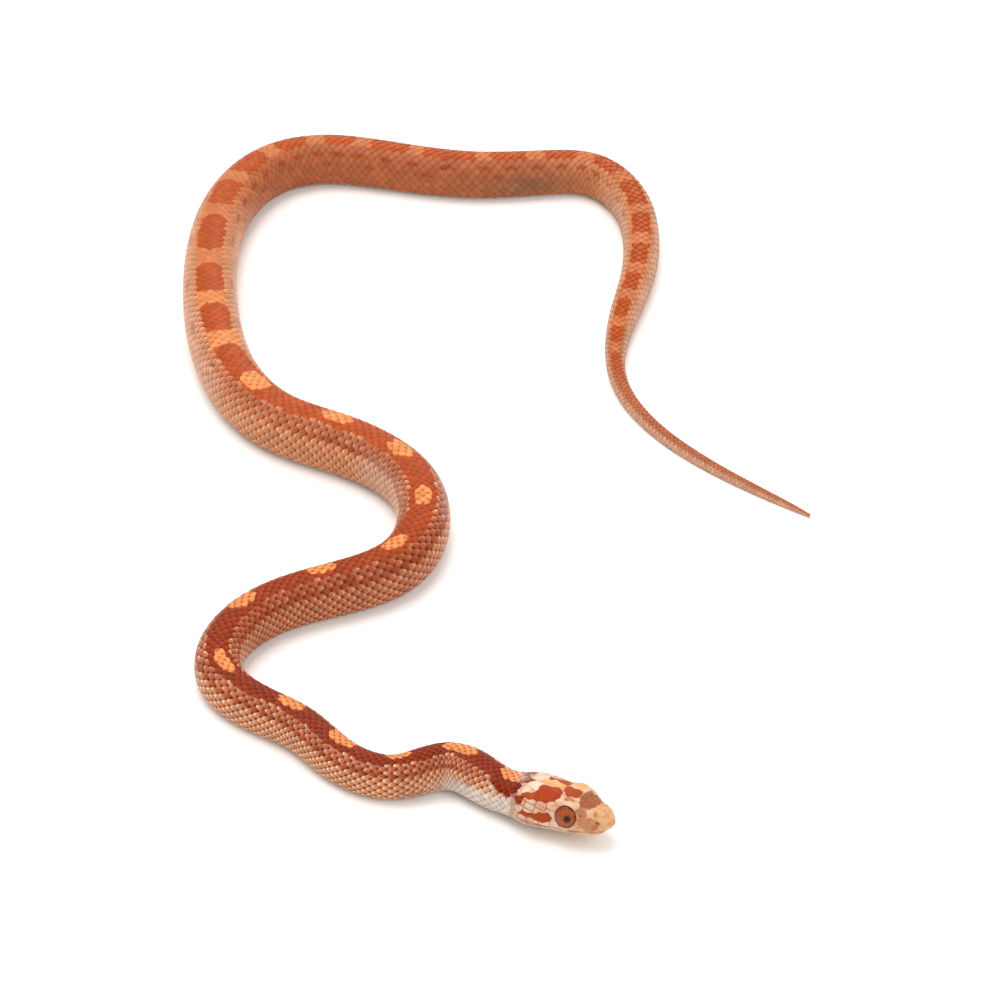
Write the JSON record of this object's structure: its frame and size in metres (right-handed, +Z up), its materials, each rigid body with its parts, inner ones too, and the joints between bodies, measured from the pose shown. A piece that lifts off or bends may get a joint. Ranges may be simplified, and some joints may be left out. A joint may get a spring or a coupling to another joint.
{
  "type": "corn snake",
  "caption": "Still, life-size model of a young orange and red corn snake, lying in open curves on its belly with its head slightly raised.",
  "frame": {"origin": "on the floor, under the middle of the snake's bounding box", "axes": "+Z up, +Y away from the viewer of the picture, +X to the viewer's right"},
  "size_m": [0.0904, 0.1597, 0.0079],
  "materials": {
    "body_skin": "satin scales",
    "tail_skin": "satin scales",
    "head_skin": "satin scales",
    "jaw_skin": "satin scales",
    "eye": "wet gloss"
  },
  "bodies": {
    "root": {"head": "head_skin", "lower_jaw": "jaw_skin", "eye_left": "eye", "eye_right": "eye", "neck": "body_skin", "forebody_1": "body_skin", "forebody_2": "body_skin", "forebody_3": "body_skin", "forebody_4": "body_skin", "midbody_1": "body_skin", "midbody_2": "body_skin", "midbody_3": "body_skin", "midbody_4": "body_skin", "hindbody_1": "body_skin", "hindbody_2": "body_skin", "hindbody_3": "body_skin", "tail_1": "tail_skin", "tail_2": "tail_skin", "tail_3": "tail_skin"}
  },
  "joints": []
}
